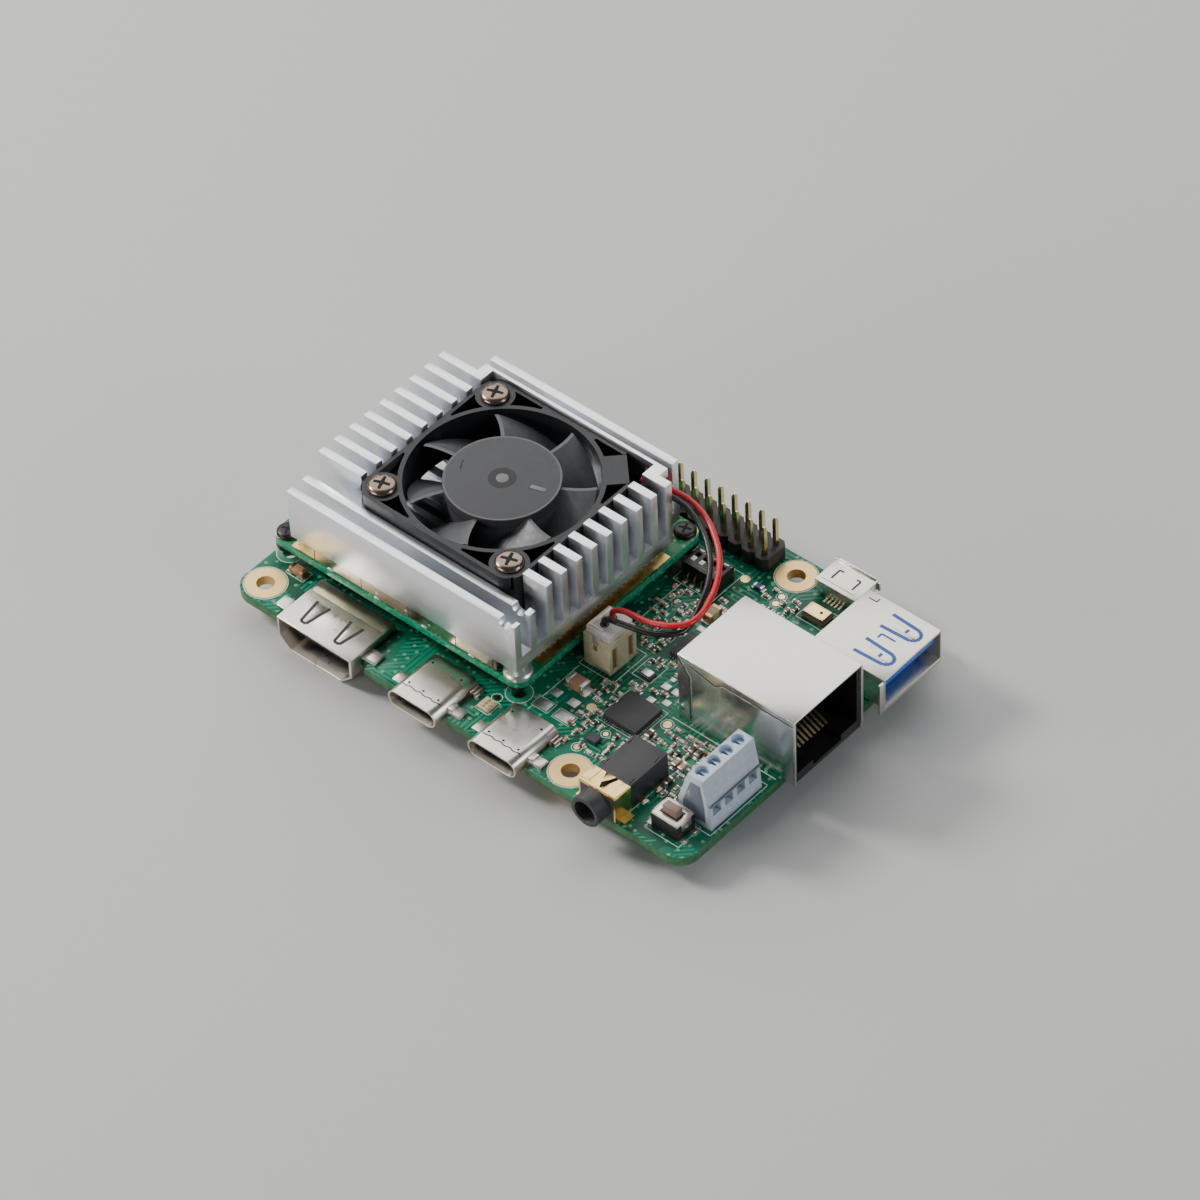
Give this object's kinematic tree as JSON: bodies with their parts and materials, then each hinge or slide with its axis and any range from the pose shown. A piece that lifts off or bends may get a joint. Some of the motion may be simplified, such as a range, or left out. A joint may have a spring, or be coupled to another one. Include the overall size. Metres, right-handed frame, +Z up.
{
  "type": "single board computer",
  "caption": "Single board computer with edge sockets, a pin header and a plug-on processor module cooled by a finned heat sink and a small axial fan.",
  "frame": {"origin": "centre of the four mounting holes, on the underside of the main board", "axes": "+X along the board towards the network jack, +Y across it towards the pin header, +Z up out of the component side"},
  "size_m": [0.0882, 0.0599, 0.0238],
  "materials": {
    "board_green": "solder mask gloss",
    "gold_plate": "satin gold plate",
    "black_plastic": "moulded matte",
    "grey_plastic": "moulded matte",
    "pin_gold": "gold plated",
    "socket_steel": "nickel plated, satin",
    "blue_plastic": "moulded",
    "cream_plastic": "moulded matte",
    "white_plastic": "moulded matte",
    "terminal_plastic": "moulded matte",
    "brass_metal": "bright stamped",
    "screw_nickel": "bright plated",
    "screw_black": "black oxide",
    "fan_screw_nickel": "dark nickel",
    "brown_plastic": "moulded matte",
    "red_insulation": "flexible insulation",
    "black_insulation": "flexible insulation",
    "chip_black": "moulded epoxy",
    "ceramic_brown": "fired ceramic",
    "shield_metal": "tin plated",
    "pad_rubber": "soft pad",
    "sink_aluminium": "extruded, satin",
    "fan_plastic": "moulded satin",
    "rotor_plastic": "moulded matte",
    "winding_copper": "wound wire",
    "magnet_black": "bonded ferrite"
  },
  "bodies": {
    "carrier": {"main_board": "board_green", "mounting_hole_plating": "gold_plate", "pin_header_body": "black_plastic", "pin_header_pins": "pin_gold", "network_jack_shell": "socket_steel", "network_jack_housing": "black_plastic", "network_jack_contacts": "pin_gold", "host_socket_shell": "socket_steel", "host_socket_tongue": "blue_plastic", "console_socket_shell": "socket_steel", "console_socket_insert": "cream_plastic", "video_socket_shell": "socket_steel", "video_socket_tongue": "black_plastic", "type_c_socket_shells": "socket_steel", "type_c_socket_tongues": "black_plastic", "audio_jack_body": "grey_plastic", "audio_jack_bracket": "brass_metal", "speaker_terminal_housing": "terminal_plastic", "reset_switch_body": "black_plastic", "reset_switch_cover": "socket_steel", "reset_dome": "socket_steel", "boot_switch_body": "black_plastic", "fan_header": "cream_plastic", "fan_plug": "white_plastic", "fan_wire_red": "red_insulation", "fan_wire_black": "black_insulation", "board_chips": "chip_black", "board_passives": "ceramic_brown", "module_board": "board_green", "module_screws": "screw_black", "module_nuts": "brass_metal", "module_connectors": "black_plastic", "module_shield": "shield_metal", "module_chips": "chip_black", "thermal_pads": "pad_rubber", "heat_sink": "sink_aluminium", "fan_frame": "fan_plastic", "fan_bearing": "brass_metal", "fan_stator": "winding_copper", "fan_screws": "fan_screw_nickel", "flat_cable_connectors": "cream_plastic", "card_slot": "socket_steel"},
    "fan_rotor": {"fan_rotor": "rotor_plastic", "fan_shaft": "socket_steel", "fan_magnet": "magnet_black"},
    "reset_button": {"reset_button": "brown_plastic"},
    "camera_latch": {"camera_latch": "black_plastic"},
    "display_latch": {"display_latch": "black_plastic"},
    "boot_slider_1": {"boot_slider_1": "white_plastic"},
    "terminal_screw_1": {"terminal_screw_1": "screw_nickel"},
    "terminal_clamp_1": {"terminal_clamp_1": "screw_nickel"},
    "boot_slider_2": {"boot_slider_2": "white_plastic"},
    "terminal_screw_2": {"terminal_screw_2": "screw_nickel"},
    "terminal_clamp_2": {"terminal_clamp_2": "screw_nickel"},
    "boot_slider_3": {"boot_slider_3": "white_plastic"},
    "terminal_screw_3": {"terminal_screw_3": "screw_nickel"},
    "terminal_clamp_3": {"terminal_clamp_3": "screw_nickel"},
    "boot_slider_4": {"boot_slider_4": "white_plastic"},
    "terminal_screw_4": {"terminal_screw_4": "screw_nickel"},
    "terminal_clamp_4": {"terminal_clamp_4": "screw_nickel"}
  },
  "joints": [
    {"name": "fan_spin", "type": "hinge", "parent": "carrier", "child": "fan_rotor", "pos_m": [-0.0037, -0.00075, 0.0176], "axis": [0, 0, 1], "continuous": true},
    {"name": "reset_press", "type": "slide", "parent": "carrier", "child": "reset_button", "axis": [0, 0, -1], "range_m": [0, 0.00025], "stiffness_N_per_m": 500},
    {"name": "camera_latch_flip", "type": "hinge", "parent": "carrier", "child": "camera_latch", "pos_m": [0.0005, -0.0045, -0.0014], "axis": [1, 0, 0], "range_deg": [0, 90]},
    {"name": "display_latch_flip", "type": "hinge", "parent": "carrier", "child": "display_latch", "pos_m": [0.0255, -0.0045, -0.0014], "axis": [1, 0, 0], "range_deg": [0, 90]},
    {"name": "boot_switch_1", "type": "slide", "parent": "carrier", "child": "boot_slider_1", "axis": [0, 1, 0], "range_m": [0, 0.0009]},
    {"name": "terminal_screw_turn_1", "type": "hinge", "parent": "carrier", "child": "terminal_screw_1", "pos_m": [0.0487, -0.01921, 0.008], "axis": [0, 0, 1], "range_deg": [0, 720]},
    {"name": "terminal_clamp_lift_1", "type": "slide", "parent": "carrier", "child": "terminal_clamp_1", "axis": [0, 0, 1], "range_m": [0, 0.001]},
    {"name": "boot_switch_2", "type": "slide", "parent": "carrier", "child": "boot_slider_2", "axis": [0, 1, 0], "range_m": [0, 0.0009]},
    {"name": "terminal_screw_turn_2", "type": "hinge", "parent": "carrier", "child": "terminal_screw_2", "pos_m": [0.0487, -0.01667, 0.008], "axis": [0, 0, 1], "range_deg": [0, 720]},
    {"name": "terminal_clamp_lift_2", "type": "slide", "parent": "carrier", "child": "terminal_clamp_2", "axis": [0, 0, 1], "range_m": [0, 0.001]},
    {"name": "boot_switch_3", "type": "slide", "parent": "carrier", "child": "boot_slider_3", "axis": [0, 1, 0], "range_m": [0, 0.0009]},
    {"name": "terminal_screw_turn_3", "type": "hinge", "parent": "carrier", "child": "terminal_screw_3", "pos_m": [0.0487, -0.01413, 0.008], "axis": [0, 0, 1], "range_deg": [0, 720]},
    {"name": "terminal_clamp_lift_3", "type": "slide", "parent": "carrier", "child": "terminal_clamp_3", "axis": [0, 0, 1], "range_m": [0, 0.001]},
    {"name": "boot_switch_4", "type": "slide", "parent": "carrier", "child": "boot_slider_4", "axis": [0, 1, 0], "range_m": [0, 0.0009]},
    {"name": "terminal_screw_turn_4", "type": "hinge", "parent": "carrier", "child": "terminal_screw_4", "pos_m": [0.0487, -0.01159, 0.008], "axis": [0, 0, 1], "range_deg": [0, 720]},
    {"name": "terminal_clamp_lift_4", "type": "slide", "parent": "carrier", "child": "terminal_clamp_4", "axis": [0, 0, 1], "range_m": [0, 0.001]}
  ],
  "couplings": [
    {"joint": "terminal_screw_turn_1", "follows": "terminal_clamp_lift_1", "rad_per_m": 12566},
    {"joint": "terminal_screw_turn_2", "follows": "terminal_clamp_lift_2", "rad_per_m": 12566},
    {"joint": "terminal_screw_turn_3", "follows": "terminal_clamp_lift_3", "rad_per_m": 12566},
    {"joint": "terminal_screw_turn_4", "follows": "terminal_clamp_lift_4", "rad_per_m": 12566}
  ]
}
